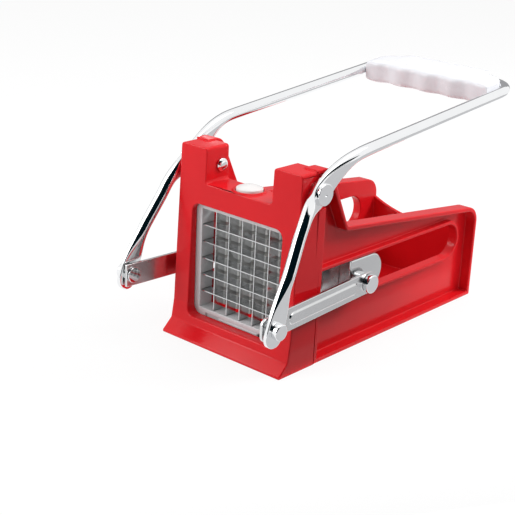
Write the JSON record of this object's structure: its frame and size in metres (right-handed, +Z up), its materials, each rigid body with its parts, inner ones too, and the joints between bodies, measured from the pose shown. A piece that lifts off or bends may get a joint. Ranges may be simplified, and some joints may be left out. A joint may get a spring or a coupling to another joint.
{
  "type": "french fry cutter",
  "caption": "Lever-operated french fry cutter: moulded body with a square window, lift-out blade cartridge, pusher on side links and a bent tube handle with a moulded grip.",
  "frame": {"origin": "centre of the box on the table: middle of the width and of the overall depth, at the bottom face", "axes": "+Z up, the window faces -Y, the handle reaches to +Y, +X to the right as seen from the front"},
  "size_m": [0.141, 0.277, 0.1658],
  "materials": {
    "red_plastic": "glossy moulded ABS",
    "white_plastic": "satin moulded plastic",
    "cartridge_plastic": "light grey moulded plastic",
    "pusher_plastic": "white moulded plastic",
    "chrome": "bright plated",
    "zinc_steel": "plated pressed steel",
    "blade_steel": "stainless strip"
  },
  "bodies": {
    "base": {"body": "red_plastic", "pivot_pin_left": "chrome", "pivot_pin_right": "chrome", "pivot_washer_left": "zinc_steel", "pivot_washer_right": "zinc_steel"},
    "lever": {"handle_lever": "chrome", "grip": "white_plastic", "lower_pin_left": "chrome", "lower_pin_right": "chrome", "lower_spacer_left": "zinc_steel", "lower_spacer_right": "zinc_steel"},
    "left_link": {"link_left": "zinc_steel", "slot_pin_left": "chrome"},
    "right_link": {"link_right": "zinc_steel", "slot_pin_right": "chrome"},
    "pusher": {"carriage": "zinc_steel", "shoe_rivets": "zinc_steel", "slide_shoe_left": "zinc_steel", "slide_shoe_right": "zinc_steel", "shoe_stud_left": "chrome", "shoe_stud_right": "chrome", "pusher_block": "pusher_plastic", "pusher_screw": "zinc_steel", "pusher_nut": "zinc_steel"},
    "cartridge": {"cartridge_frame": "cartridge_plastic", "vertical_blades": "blade_steel", "horizontal_blades": "blade_steel"},
    "button": {"release_button": "white_plastic", "button_spring": "blade_steel"}
  },
  "joints": [
    {"name": "lever_hinge", "type": "hinge", "parent": "base", "child": "lever", "pos_m": [0, -0.08154, 0.1179], "axis": [1, 0, 0], "range_deg": [-9.7, 63.5]},
    {"name": "pusher_slide", "type": "slide", "parent": "base", "child": "pusher", "axis": [0, 1, 0], "range_m": [-0.01399, 0.0916]},
    {"name": "left_link_hinge", "type": "hinge", "parent": "lever", "child": "left_link", "pos_m": [-0.0603, -0.12934, 0.0444], "axis": [1, 0, 0], "range_deg": [-63.7, 9.9]},
    {"name": "right_link_hinge", "type": "hinge", "parent": "lever", "child": "right_link", "pos_m": [0.0603, -0.12934, 0.0444], "axis": [1, 0, 0], "range_deg": [-63.7, 9.9]},
    {"name": "cartridge_slide", "type": "slide", "parent": "base", "child": "cartridge", "axis": [0, 0, -1], "range_m": [0, 0.1]},
    {"name": "button_press", "type": "slide", "parent": "base", "child": "button", "axis": [0, 0, -1], "range_m": [0, 0.0025], "stiffness_N_per_m": 600, "deforming": ["button_spring"]}
  ],
  "couplings": [
    {"joint": "pusher_slide", "follows": "lever_hinge", "m_per_rad": 0.0825},
    {"joint": "left_link_hinge", "follows": "lever_hinge", "ratio": -1},
    {"joint": "right_link_hinge", "follows": "lever_hinge", "ratio": -1}
  ]
}
